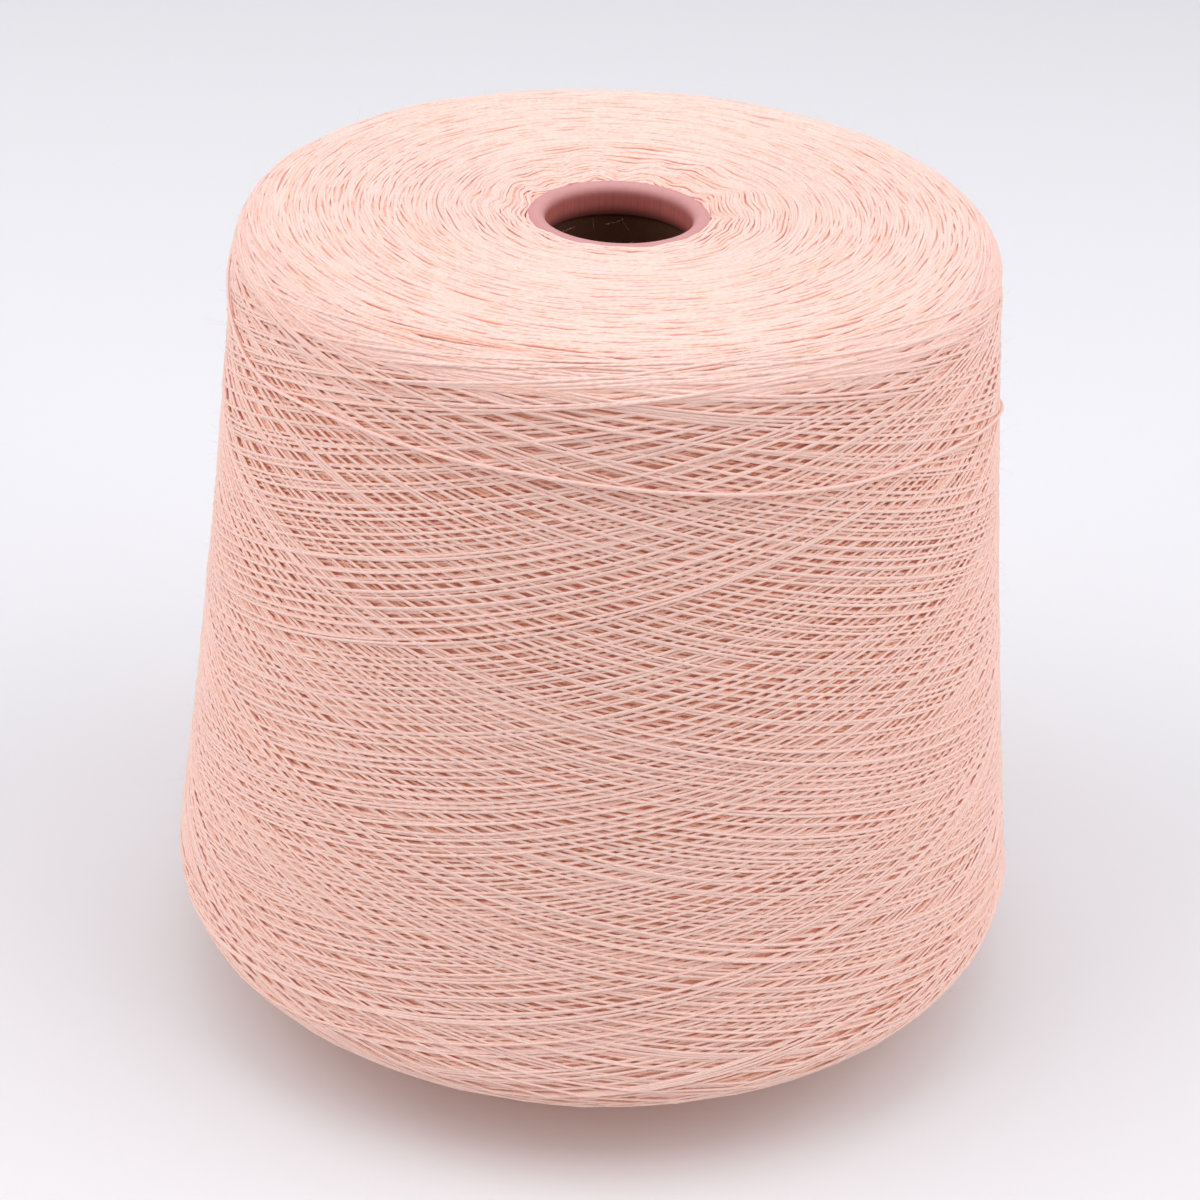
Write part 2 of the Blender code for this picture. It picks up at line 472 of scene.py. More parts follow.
class ThreadMesh:
    """Collects closed tubes of yarn and makes one piece of them."""

    def __init__(self, sides):
        self.sides = sides
        self.points, self.quads, self.caps, self.thread, self.tones = [], [], [], [], []
        self.count = 0

    def add(self, path, normals, half_width, half_height, tone, start=0.0):
        """A tube along a path, flattened along the normals, with a UV map along the thread.

        Returns the length from the thread's start to the tube's end.
        """
        along = unit_rows(np.gradient(path, axis=0))
        across = unit_rows(np.cross(along, normals))
        up = np.cross(across, along)
        turn = np.arange(self.sides) * TAU / self.sides
        wide = np.broadcast_to(half_width, len(path))[:, None, None]
        tall = np.broadcast_to(half_height, len(path))[:, None, None]
        ring = path[:, None] + tall * np.cos(turn)[None, :, None] * up[:, None]
        ring = ring + wide * np.sin(turn)[None, :, None] * across[:, None]
        steps = len(path)
        first = self.count + np.arange(steps - 1)[:, None] * self.sides
        side = np.arange(self.sides)[None, :]
        following = (side + 1) % self.sides
        quads = np.stack([first + side, first + following, first + self.sides + following,
                          first + self.sides + side], axis=-1)
        gone = start + sums(step_lengths(path))
        low, here, there = np.broadcast_arrays(side / self.sides, gone[:-1, None], gone[1:, None])
        high = low + 1 / self.sides
        thread = np.stack([here, low, here, high, there, high, there, low], axis=-1)
        self.points.append(ring.reshape(-1, 3))
        self.quads.append(quads.reshape(-1, 4))
        self.thread.append(thread.reshape(-1, 2))
        last = self.count + (steps - 1) * self.sides + np.arange(self.sides)
        self.caps += [self.count + np.arange(self.sides)[::-1], last]
        self.tones.append(np.full(steps * self.sides, tone))
        self.count += steps * self.sides
        return gone[-1]

    def build(self, name):
        faces = np.concatenate(self.quads).tolist() + np.array(self.caps).tolist()
        mesh = bpy.data.meshes.new(name)
        mesh.from_pydata(np.concatenate(self.points) * MM, [], faces)
        thread = np.zeros((len(mesh.loops), 2), np.float32)
        along = np.concatenate(self.thread)
        thread[:len(along)] = along
        mesh.uv_layers.new(name="thread").data.foreach_set("uv", thread.ravel())
        tones = np.concatenate(self.tones).astype(np.float32)
        mesh.attributes.new("tone", "FLOAT", "POINT").data.foreach_set("value", tones)
        mesh.shade_smooth()
        mesh.materials.append(bpy.data.materials["spun_yarn"])
        finish_piece(linked(name, mesh), "yarn")


# ---- laying the winding


# Wind angle, in degrees from level, at heights up the package.
WIND_ANGLES = {
    "height": (17.0, 25.0, 34.0, 45.0, 60.0, 83.0, 96.0,
               108.0, 120.0, 140.0, 150.0, 158.0, 164.0, 169.0),
    "angle": (7.0, 9.5, 11.0, 12.3, 13.2, 13.6, 14.6,
              16.0, 17.0, 17.3, 16.3, 12.5, 9.0, 6.5),
}

# The planned course: its samples, how far it stays off the ends of the side, the length over
# which it turns round, and the turns by which it comes back beside an earlier traverse.
COURSE_SAMPLES = 1601
COURSE_MARGIN = 5.0
TURN_ROUND = 1.5
RETURN_DRIFT = 0.0021

# How laid threads stray from it: the lowest and highest turn-round, their spread, how fast
# that fades along the traverse, the height and number of the slow waves between them, and the
# sway round the package.
LOWEST_TURN = 5.2
HIGHEST_TURN = 6.8
TURN_SPREAD = 7.5
TURN_FADE = 6
WAVE_HEIGHT = 0.3
WAVES = (4, 11)
SWAY = 0.026

# How threads lie on each other: the share of half a thread by which one stacks on another,
# the samples that each support is the highest of, the least lean that still bends a thread,
# the share of a straight bridge that sags, and the samples over which its bends are eased and
# over which a traverse joins the one before.
STACKED_SHARE = 0.28
SUPPORT_SAMPLES = 3
LEAST_LEAN = 0.2
SAG = 0.62
EASED_SAMPLES = 9
JOINED_SAMPLES = 4

# A traverse's height against its width, and how much the girth of turns varies.
TRAVERSE_FLATNESS = 0.9
GIRTH_SPREAD = 0.05

# The map of heights: its cell in millimetres, the cells over which its level is held, the
# traverses between that, and the percentile of a row, smoothed over so many rows, that counts
# as the finished surface.
CELL = 0.34
LEVEL_REACH = 8
LEVEL_EVERY = 4
TOPS_SHARE = 92
TOPS_ROWS = 25


def smoothed(values, width):
    """A running mean over an odd width, which keeps its length."""
    padded = np.pad(values, width // 2, mode="edge")
    return np.convolve(padded, np.ones(width) / width, mode="valid")


def spread(cells, reach):
    """The mean over a square of cells about each; the columns join up round the package."""
    for axis, mode in ((0, "edge"), (1, "wrap")):
        pad = [(0, 0), (0, 0)]
        pad[axis] = (reach + 1, reach)
        total = np.cumsum(np.pad(cells, pad, mode=mode), axis=axis)
        size = cells.shape[axis]
        after = np.take(total, np.arange(size) + 2 * reach + 1, axis=axis)
        cells = (after - np.take(total, np.arange(size), axis=axis)) / (2 * reach + 1)
    return cells


class Winding:
    """The traverses of one thread, laid in turn on a map of heights over the form.

    The map's level is held in every row, so what was laid before sinks as more goes on. Each
    traverse keeps the sinkage at the time it was laid, to be settled when all are laid.
    """

    def __init__(self, form, thread_width, rng):
        self.form = form
        self.rng = rng
        self.stacked = thread_width / 2 * STACKED_SHARE
        self.beside = max(self.stacked ** 2 - CELL ** 2, 0.0) ** 0.5
        self.high = form.face_start
        self.rows = int(self.high / CELL) + 1
        self.columns = int(TAU * form.radius(form.side_start) / CELL)
        self.map = np.zeros((self.rows, self.columns), np.float32)
        self.sunk = np.zeros_like(self.map)
        self.course = self.plan_course()
        self.angle = 0.0
        self.end = self.turn_wander()
        self.lift = None
        self.laid = []

    def plan_course(self):
        """The course of one traverse: turns made against the share of the way travelled."""
        share = (1 - np.cos(np.linspace(0, pi, COURSE_SAMPLES))) / 2
        middle = (share[1:] + share[:-1]) / 2
        low, high = COURSE_MARGIN, self.high - COURSE_MARGIN
        distance = low + (high - low) * middle
        slope = np.tan(np.radians(np.interp(
            self.form.height(distance), WIND_ANGLES["height"], WIND_ANGLES["angle"])))
        from_end = np.minimum(distance - low, high - distance)
        slope = slope * np.minimum(1.0, np.sqrt(from_end / TURN_ROUND))
        turned = sums(np.diff(share) * (high - low) / slope / self.form.radius(distance))
        # A traverse makes whole thirds of a turn and a little more, so that the sixth one
        # after it goes the same way close beside it, in loose near-parallel groups.
        self.turns = round(turned[-1] / TAU * 3) / 3 + RETURN_DRIFT
        return turned / turned[-1], share

    def turn_wander(self):
        """How far a turn-round lies from the middle of its band, to keep the edges soft."""
        return TURN_SPREAD * (self.rng.beta(1.6, 1.8) - 0.5)

    def cells(self, angle, distance):
        rows = np.clip((distance / CELL).astype(int), 0, self.rows - 1)
        return rows, (angle / TAU * self.columns).astype(int) % self.columns

    def traverse(self, upward):
        """Lays the next traverse."""
        start, self.end = self.end, self.turn_wander()
        low, high = LOWEST_TURN, self.high - HIGHEST_TURN
        course, share = self.course
        if not upward:
            course, share = 1 - course[::-1], 1 - share[::-1]
        length = self.turns * TAU * self.form.radius((low + high) / 2)
        time = np.linspace(0, 1, int(length / CELL))
        share = np.interp(time, course, share)
        risen = share if upward else 1 - share
        distance = low + (high - low) * risen
        distance = distance + start * (1 - share) ** TURN_FADE + self.end * share ** TURN_FADE
        phase, waves = self.rng.uniform(0, TAU), self.rng.uniform(*WAVES)
        wander = self.rng.normal(0, WAVE_HEIGHT) * np.sin(phase + waves * TAU * time)
        distance = distance + wander * np.sin(pi * time)
        planned = (len(self.laid) + 1) * self.turns * TAU + self.rng.normal(0, SWAY)
        angle = self.angle + (planned - self.angle) * time
        self.angle = planned
        rows, columns = self.cells(angle, distance)
        lift = self.pull_tight(angle, distance, self.support(rows, columns))
        if self.lift is not None:
            joined = np.linspace(self.lift, lift[JOINED_SAMPLES], JOINED_SAMPLES)
            lift[:JOINED_SAMPLES] = joined
        self.lift = lift[-1]
        self.raise_map(rows, columns, lift)
        self.laid.append((angle, distance, lift + self.sunk[rows, columns]))
        if len(self.laid) % LEVEL_EVERY == 0:
            self.hold_level()

    def support(self, rows, columns):
        """The least height of a thread's centre over what lies under it."""
        best = self.map[rows, columns] + self.stacked
        for step in (-1, 1):
            near = self.map[np.clip(rows + step, 0, self.rows - 1), columns]
            best = np.maximum(best, near + self.beside)
        return best

    def pull_tight(self, angle, distance, support):
        """A tight thread bears on the highest supports and runs nearly straight between them."""
        every = SUPPORT_SAMPLES
        count = len(support) // every
        peaks = support[:count * every].reshape(count, every).max(axis=1)
        radius = self.form.radius(distance)
        steps = np.hypot(np.diff(angle) * radius[1:], np.diff(distance))
        gone = sums(steps)
        bend = np.maximum(self.form.lean(distance), LEAST_LEAN) / radius
        drop = integral(integral(bend, steps), steps)
        middle = np.arange(1, count * every, every)
        middle[0], middle[-1] = 0, len(support) - 1
        level = peaks - drop[middle]
        hull_x, hull_y = [], []
        for x, y in zip(gone[middle].tolist(), level.tolist()):
            while len(hull_x) > 1:
                run, rise = hull_x[-1] - hull_x[-2], hull_y[-1] - hull_y[-2]
                if rise * (x - hull_x[-2]) > (y - hull_y[-2]) * run:
                    break
                hull_x.pop()
                hull_y.pop()
            hull_x.append(x)
            hull_y.append(y)
        tight = np.interp(gone, hull_x, hull_y) + drop
        bears = np.interp(gone, gone[middle], peaks)
        eased = tight - SAG * (tight - bears)
        return smoothed(eased, EASED_SAMPLES)

    def raise_map(self, rows, columns, lift):
        for step, rise in ((0, self.stacked), (-1, self.beside), (1, self.beside)):
            near = np.clip(rows + step, 0, self.rows - 1)
            np.maximum.at(self.map, (near, columns), (lift + rise).astype(np.float32))

    def hold_level(self):
        """Presses every place that has risen back down, evenly with its neighbours."""
        rise = spread(spread(self.map, LEVEL_REACH), LEVEL_REACH)
        self.map -= rise
        self.sunk += rise

    def settled(self, first, last):
        """The traverses from first to last, with their lifts under the finished surface."""
        tops = smoothed(np.percentile(self.map, TOPS_SHARE, axis=1), TOPS_ROWS)
        for angle, distance, lift in self.laid[first:last]:
            rows, columns = self.cells(angle, distance)
            yield angle, distance, lift - self.sunk[rows, columns] - tops[rows]


def begin(context, number):
    """What each step that lays threads works with: sizes, form and its own random draws."""
    return context.scene.yarn_sizes, WoundForm(), np.random.default_rng(SEED + number)


def thin_out(spacing, angle, distance, *others):
    """Every so many samples of a laid thread, with both its ends."""
    every = max(1, round(spacing / CELL))
    keep = np.unique(np.append(np.arange(0, len(angle), every), len(angle) - 1))
    return [values[keep] for values in (angle, distance, *others)]


class YARN_OT_side_winding(bpy.types.Operator):
    """Lay the crossing traverses of the side, as three pieces from deep to outer"""

    bl_idname = "yarn.side_winding"
    bl_label = "Side winding"

    def execute(self, context):
        sizes, form, rng = begin(context, 0)
        width = sizes.thread / MM
        winding = Winding(form, width, rng)
        # Name, traverses, spacing of the points in mm, sides of the threads and their tones. The
        # tones are lower for the deeper layers, which is painted shade: those threads are darker
        # and redder and carry more painted glow.
        layers = (
            ("side_winding_deep", sizes.deep_traverses, 9.0, 3, (0.15, 0.5)),
            ("side_winding_middle", sizes.middle_traverses, 6.5, 4, (0.5, 0.85)),
            ("side_winding_outer", sizes.outer_traverses, 5.8, 5, (0.75, 1.0)),
        )
        hidden = sizes.hidden_traverses
        for number in range(hidden + sum(layer[1] for layer in layers)):
            winding.traverse(number % 2 == 0)
        first = hidden
        for name, traverses, spacing, sides, tones in layers:
            threads = ThreadMesh(sides)
            # With fewer sides a thread looks thinner, so it is laid a little fuller.
            fullness = 1.06 - 0.026 * sides
            gone = 0.0
            for laid in winding.settled(first, first + traverses):
                angle, distance, lift = thin_out(spacing, *laid)
                path, normals = form.place(angle, distance, lift)
                girth = width / 2 * rng.normal(fullness, GIRTH_SPREAD)
                tone = rng.uniform(*tones)
                gone = threads.add(path, normals, girth, girth * TRAVERSE_FLATNESS, tone, gone)
            first += traverses
            threads.build(name)
        return {"FINISHED"}


# ---- faces, nose, last turn, hair


# The arcs on the faces and the loops round the nose. Round the nose, lengths are shares of a
# reach, which is the radius and NOSE_REACH more; the other measures are in millimetres.
ArcStyle = namedtuple("ArcStyle", "lengths slips slant dive scatter tones spacing")
FACE_ARCS = ArcStyle(lengths=(24, 40), slips=(-0.2, 0.5), slant=0.055, dive=0.9,
                     scatter=0.05, tones=(0.45, 1.0), spacing=5.5)
NOSE_ARCS = ArcStyle(lengths=(0.8, 1.35), slips=(-0.1, 0.4), slant=0.03, dive=1.6,
                     scatter=0.13, tones=(0.5, 1.0), spacing=1.5)
NOSE_REACH = 6.0

# How sharply the ends dive, an arc's height against its width, and how far the pattern along
# it is shifted for its tone.
DIVE_POWER = 2.6
ARC_FLATNESS = 0.92
PATTERN_SHIFT = 50

# How far puckered loops ride up on the puckers, and over the nose at the front, which fades
# over so many millimetres.
PUCKER_LIFT = 0.3
FRONT_LIFT = 0.8
FRONT_FADE = 2.0

# How far chosen places stray, along the outline in mm and round the package in radians.
PLACE_SCATTER = 0.12
ANGLE_SCATTER = 0.05
GOLDEN = (5 ** 0.5 - 1) / 2


class Puckers:
    """Waves that neighbouring loops near the nose share, weakest on the side that faces front."""

    counts = (9, 14, 21)
    sizes = (0.75, 0.55, 0.3)
    fullest_radius = 24.0
    mean, swing = 0.62, 0.38

    def __init__(self, rng):
        self.phases = rng.uniform(0, TAU, 3)
        self.drifts = rng.uniform(-0.55, 0.55, 3)

    def waves(self, angle, radius, lead):
        total = np.zeros_like(angle)
        for size, count, phase, drift in zip(self.sizes, self.counts, self.phases, self.drifts):
            turned = count * angle + phase + drift * (radius - LIP_OUTER_RADIUS)
            total += size * np.sin(turned + lead)
        slack = (PUCKERED_RADIUS - radius) / (PUCKERED_RADIUS - self.fullest_radius)
        slack = np.clip(slack, 0, 1)
        return total * slack * (self.mean + self.swing * np.sin(angle))


def lay_arc(threads, form, rng, place, style, half_width, reach=1.0, puckers=None):
    """One turn-round arc: it rises out of the package, bears on its face and dives back in."""
    angle, distance = place
    radius = form.radius(distance)
    length = rng.uniform(*style.lengths) * reach
    slip, slant = rng.uniform(*style.slips), rng.normal(0, style.slant)
    lift = rng.normal(0, style.scatter) - half_width
    girth, tone = half_width * rng.normal(1, GIRTH_SPREAD), rng.uniform(*style.tones)
    along = np.linspace(-length / 2, length / 2, max(int(length / style.spacing), 4) + 1)
    where = distance - np.sign(distance) * (slip * along ** 2 / (2 * radius) + slant * along)
    angles = angle + along / radius
    lifts = lift - style.dive * np.abs(2 * along / length) ** DIVE_POWER
    if puckers:
        here = form.radius(where)
        where = where - puckers.waves(angles, here, lead=0.0)
        lifts = lifts + PUCKER_LIFT * puckers.waves(angles, here, lead=1.3)
        front = np.maximum(-np.sin(angles), 0.0)
        fade = np.exp(-((here - LIP_OUTER_RADIUS) / FRONT_FADE) ** 2)
        lifts = lifts + FRONT_LIFT * front * fade
    where = np.minimum(where, form.face_end)
    path, normals = form.place(angles, where, lifts)
    threads.add(path, normals, girth, girth * ARC_FLATNESS, tone, PATTERN_SHIFT * tone)


def chosen_places(form, rng, nearest, furthest, count):
    """Angles and distances along the outline, spread evenly over the turned surface."""
    distances = np.linspace(nearest, furthest, 400)
    share = np.cumsum(form.radius(distances))
    share = (share - share[0]) / (share[-1] - share[0])
    numbers = rng.permutation(count)
    distances = np.interp((numbers + 0.5) / count, share, distances)
    distances = distances + rng.normal(0, PLACE_SCATTER, count)
    return zip(numbers * GOLDEN % 1 * TAU + rng.normal(0, ANGLE_SCATTER, count), distances)


class YARN_OT_face_turns(bpy.types.Operator):
    """Lay the turn-round arcs that make up the top face and the underside"""

    bl_idname = "yarn.face_turns"
    bl_label = "Face turns"

    def execute(self, context):
        sizes, form, rng = begin(context, 1)
        half_width = sizes.thread / MM / 2
        puckered = form.face_end - (PUCKERED_RADIUS - INNERMOST_LOOP)
        # Name, number of arcs, nearest and furthest along the outline, sides of the threads.
        faces = (
            ("top_face_turns", sizes.top_turns, form.side_end + 1.0, puckered + 1.0, 5),
            ("underside_turns", sizes.underside_turns, form.underside_start + 0.5, 7.0, 4),
        )
        for name, count, nearest, furthest, sides in faces:
            threads = ThreadMesh(sides)
            for place in chosen_places(form, rng, nearest, furthest, count):
                lay_arc(threads, form, rng, place, FACE_ARCS, half_width)
            threads.build(name)
        return {"FINISHED"}


class YARN_OT_nose_loops(bpy.types.Operator):
    """Lay the turn-round loops that pucker round the paper nose"""

    bl_idname = "yarn.nose_loops"
    bl_label = "Nose loops"

    def execute(self, context):
        sizes, form, rng = begin(context, 2)
        puckers = Puckers(rng)
        threads = ThreadMesh(5)
        outermost = form.face_end - (PUCKERED_RADIUS - INNERMOST_LOOP)
        for place in chosen_places(form, rng, outermost, form.face_end, sizes.nose_loops):
            reach = form.radius(place[1]) + NOSE_REACH
            lay_arc(threads, form, rng, place, NOSE_ARCS, sizes.thread / MM / 2, reach, puckers)
        threads.build("nose_loops")
        return {"FINISHED"}


# Height of the last turn at angles round the package, 0 being the right and 270 the front.
LAST_TURN = {
    "angle": (150.0, 180.0, 210.0, 225.0, 236.0, 242.0, 255.0, 265.5,
              275.6, 289.4, 299.5, 309.0, 326.0, 341.0, 362.0, 400.0),
    "height": (163.5, 158.0, 148.0, 150.0, 150.3, 149.7, 149.3, 148.6,
               147.3, 145.6, 144.3, 143.4, 142.4, 139.0, 131.0, 112.0),
}
# Its points, the samples that ease it, its height off the side, how far below that its two
# ends sink, its fullness and its tone.
LAST_TURN_POINTS = 190
LAST_TURN_EASED = 13
LAST_TURN_LIFT = 0.55
LAST_TURN_SINK = 1.6
LAST_TURN_FULLNESS = 1.08
LAST_TURN_TONE = 1.6


class YARN_OT_last_turn(bpy.types.Operator):
    """Lay the last turn, a pale thread that lies slack and nearly level over the others"""

    bl_idname = "yarn.last_turn"
    bl_label = "Last turn"

    def execute(self, context):
        sizes = context.scene.yarn_sizes
        form = WoundForm()
        half_width = sizes.thread / MM / 2
        angles, heights = LAST_TURN["angle"], LAST_TURN["height"]
        degrees = np.linspace(angles[0], angles[-1], LAST_TURN_POINTS)
        height = smoothed(np.interp(degrees, angles, heights), LAST_TURN_EASED)
        table = np.linspace(form.side_start, form.face_start, 400)
        distance = np.interp(height, form.height(table), table)
        share = np.linspace(-1, 1, len(degrees))
        lift = LAST_TURN_LIFT - LAST_TURN_SINK * np.abs(share) ** 12
        path, normals = form.place(np.radians(degrees), distance, lift)
        threads = ThreadMesh(6)
        threads.add(path, normals, half_width * LAST_TURN_FULLNESS, half_width, LAST_TURN_TONE)
        threads.build("last_turn")
        return {"FINISHED"}


# Radius of a loose fibre, how deep it is rooted and how far its tip is pushed off the yarn.
HAIR_GIRTH = 0.016
HAIR_ROOT = 0.4
HAIR_CLEARANCE = 0.5
BORE_HAIR_GIRTH = 0.01


def add_hair(threads, form, rng):
    """A tapered fibre that leans and curls, and stays clear of the surface."""
    distance, angle = rng.uniform(1.0, form.face_end - 1.0), rng.uniform(0, TAU)
    length = rng.gamma(3.0, 0.55) + 0.5
    roots, normals = form.place(np.array([angle]), np.array([distance]), np.array([-HAIR_ROOT]))
    root, normal = roots[0], normals[0]
    level = np.array([-np.sin(angle), np.cos(angle), 0.0])
    side = np.cross(normal, level)
    lean = rng.normal(0, 1.0, 2)
    way = normal * rng.uniform(0.25, 1.0) + level * lean[0] + side * lean[1] * 0.6
    way /= np.linalg.norm(way)
    curl = rng.normal(0, 0.5, 3)
    time = np.linspace(0, 1, 4)[:, None]
    path = root + length * (way * time + curl * time ** 2 * 0.5)
    sunk = np.maximum(0, HAIR_CLEARANCE - (path - root) @ normal)[:, None]
    path = path + normal * sunk * time
    girth = HAIR_GIRTH * (1.2 - 0.7 * time[:, 0])
    threads.add(path, np.tile(side, (4, 1)), girth, girth, rng.uniform(0.5, 1.4))


def add_bore_hair(threads, rng):
    """A short fibre that sticks out of the paper below the band."""
    angle, height = rng.uniform(0, TAU), CONE_LENGTH - rng.uniform(6.0, 9.0)
    time = np.linspace(0, 1, 7)[:, None]
    root = np.array([LIP_INNER_RADIUS * cos(angle), LIP_INNER_RADIUS * sin(angle), height])
    way = np.array([-cos(angle), -sin(angle), 0.0]) + rng.normal(0, 0.4, 3)
    curl = rng.normal(0, 0.6, 3) - (0.0, 0.0, 0.5)
    path = root + rng.uniform(1.0, 3.0) * (way * time + curl * time ** 2)
    upwards = np.tile((0.0, 0.0, 1.0), (7, 1))
    threads.add(path, upwards, BORE_HAIR_GIRTH, BORE_HAIR_GIRTH, 1.0)


class YARN_OT_hair(bpy.types.Operator):
    """Scatter the loose fibre ends that stand off the yarn and the fuzz in the bore"""

    bl_idname = "yarn.hair"
    bl_label = "Hair"

    def execute(self, context):
        sizes, form, rng = begin(context, 3)
        threads = ThreadMesh(3)
        for _ in range(sizes.hairs):
            add_hair(threads, form, rng)
        for _ in range(sizes.bore_fibres):
            add_bore_hair(threads, rng)
        threads.build("yarn_hair")
        return {"FINISHED"}


# ---- turned shells


def turn_shell(name, outline, segments):
    """A closed shell, extruded ring by ring from a circle and bridged back to it."""
    bpy.ops.object.select_all(action="DESELECT")
    bpy.ops.mesh.primitive_circle_add(vertices=segments, radius=outline[0][0] * MM)
    piece = bpy.context.object
    piece.name = piece.data.name = name
    bpy.ops.object.mode_set(mode="EDIT")
    bpy.ops.mesh.select_mode(type="EDGE")
    bpy.ops.mesh.select_all(action="SELECT")
    bpy.ops.transform.translate(value=(0, 0, outline[0][1] * MM))
    for (radius, height), (next_radius, next_height) in zip(outline, outline[1:]):
        rise = (0, 0, (next_height - height) * MM)
        bpy.ops.mesh.extrude_edges_move(TRANSFORM_OT_translate={"value": rise})
        share = next_radius / radius
        bpy.ops.transform.resize(value=(share, share, 1), center_override=(0, 0, next_height * MM))
    bpy.ops.mesh.select_all(action="DESELECT")
    bpy.ops.mesh.select_non_manifold()
    bpy.ops.mesh.bridge_edge_loops()
    bpy.ops.mesh.select_all(action="SELECT")
    bpy.ops.mesh.normals_make_consistent(inside=False)
    bpy.ops.object.mode_set(mode="OBJECT")
    bpy.ops.object.shade_smooth()
    return piece


def cone_radius(height):
    return CONE_BASE_RADIUS - height * CONE_TAPER


class YARN_OT_paper_cone(bpy.types.Operator):
    """Turn the paper cone: cut base, straight wall, rolled nose, turned-in band, bare bore"""

    bl_idname = "yarn.paper_cone"
    bl_label = "Paper cone"

    def execute(self, context):
        lip = (LIP_OUTER_RADIUS - LIP_INNER_RADIUS) / 2
        centre = ((LIP_OUTER_RADIUS + LIP_INNER_RADIUS) / 2, CONE_LENGTH - lip)
        turn = np.linspace(radians(-50), pi, 22)
        band_end = centre[1] - BAND_DEPTH
        wall_heights = (0.5, 6.0, 20.0, 60.0, 110.0, 150.0, 162.0)
        bore_heights = (band_end - 0.5, 150.0, 110.0, 60.0, 15.0, 0.5)
        # The cut base with its eased edges, the band's slight hollow and its loose lower edge.
        base = [(CONE_BASE_RADIUS - PAPER_WALL + 0.25, 0.0), (CONE_BASE_RADIUS - 0.3, 0.0)]
        wall = [(cone_radius(h), h) for h in wall_heights]
        roll = [(centre[0] + lip * cos(a), centre[1] + lip * sin(a)) for a in turn]
        band = [
            (LIP_INNER_RADIUS - 0.06, centre[1] - 0.4 * BAND_DEPTH),
            (LIP_INNER_RADIUS + 0.02, band_end + 0.25),
            (LIP_INNER_RADIUS + 0.22, band_end),
            (LIP_INNER_RADIUS + 0.6, band_end - 0.1),
        ]
        bore = [(cone_radius(h) - PAPER_WALL, h) for h in bore_heights]
        piece = turn_shell("paper_core", base + wall + roll + band + bore, segments=128)
        points = np.array([v.co for v in piece.data.vertices]) / MM
        radius, height = np.hypot(points[:, 0], points[:, 1]), points[:, 2]
        inside = (height < band_end + 0.1) & (radius < cone_radius(height) - 0.5 * PAPER_WALL)
        bare = piece.data.attributes.new("bare_board", "FLOAT", "POINT")
        bare.data.foreach_set("value", inside.astype(np.float32))
        piece.data.materials.append(bpy.data.materials["cone_paper"])
        finish_piece(piece, "paper", "paper_cone")
        return {"FINISHED"}


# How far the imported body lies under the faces, and how wide the change is to that from its
# depth under the side, where the underside begins.
FACE_INSET = 0.62
INSET_FADE = 6.0


class YARN_OT_wound_body(bpy.types.Operator):
    """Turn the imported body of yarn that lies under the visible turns"""

    bl_idname = "yarn.wound_body"
    bl_label = "Wound body"

    def execute(self, context):
        depth = context.scene.yarn_sizes.winding_depth / MM
        form = WoundForm()
        ends = (form.underside_start, 0, form.side_start, form.side_end, form.face_start)
        distance = np.concatenate([
            *(np.linspace(first, last, count, endpoint=False)
              for first, last, count in zip(ends, ends[1:], (9, 7, 33, 7))),
            np.linspace(form.face_start, form.face_end - 1.0, 16),
        ])
        on_face = np.clip((distance - form.side_end) / (form.face_start - form.side_end), 0, 1)
        under = np.clip(-distance / INSET_FADE + 1.0, 0, 1)
        inset = depth + (FACE_INSET - depth) * np.maximum(on_face, under)
        points, _ = form.place(np.zeros(len(distance)), distance, -inset)
        outline = [(x, z) for x, _, z in points]
        rim = (LIP_OUTER_RADIUS + SEAT_GAP, outline[-1][1] - 0.8)
        bore = [(cone_radius(h) + SEAT_GAP, h) for h in (160.0, 110.0, 60.0, outline[0][1])]
        piece = turn_shell("wound_body", outline + [rim] + bore, segments=160)
        piece.data.materials.append(bpy.data.materials["packed_turns"])
        finish_piece(piece, "yarn", "yarn_package")
        return {"FINISHED"}


# ---- stage


# The lamps: name, place, target, size in metres, the setting with its power, and colour.
COOL, NEUTRAL = (0.905, 0.905, 1.0), (0.99, 0.992, 1.0)
LAMPS = (
    ("top_light", (0.0, 0.08, 1.5), (0.0, 0.05, 0.1), 1.8, "top_power", COOL),
    ("left_light", (-1.15, -0.3, 0.95), (0.0, 0.0, 0.09), 1.4, "side_power", NEUTRAL),
    ("right_light", (1.15, -0.3, 0.95), (0.0, 0.0, 0.09), 1.4, "side_power", NEUTRAL),
)
AIR_COLOUR = (1.0, 0.93, 0.89, 1.0)

# The backdrop's bend and height behind the floor, in metres.
BEND_RADIUS = 0.8
BEND_STEPS = 16
BACKDROP_HEIGHT = 2.5

# The photograph's camera, solved from the outline of the package and the rim of the nose.
CAMERA_PLACE = (0.0, -471.98, 354.78)
CAMERA_PITCH = radians(30.09)
CAMERA_HEADING = radians(-0.07)
CAMERA_LEAN = radians(2.41)
FOCAL_LENGTH = 77.73


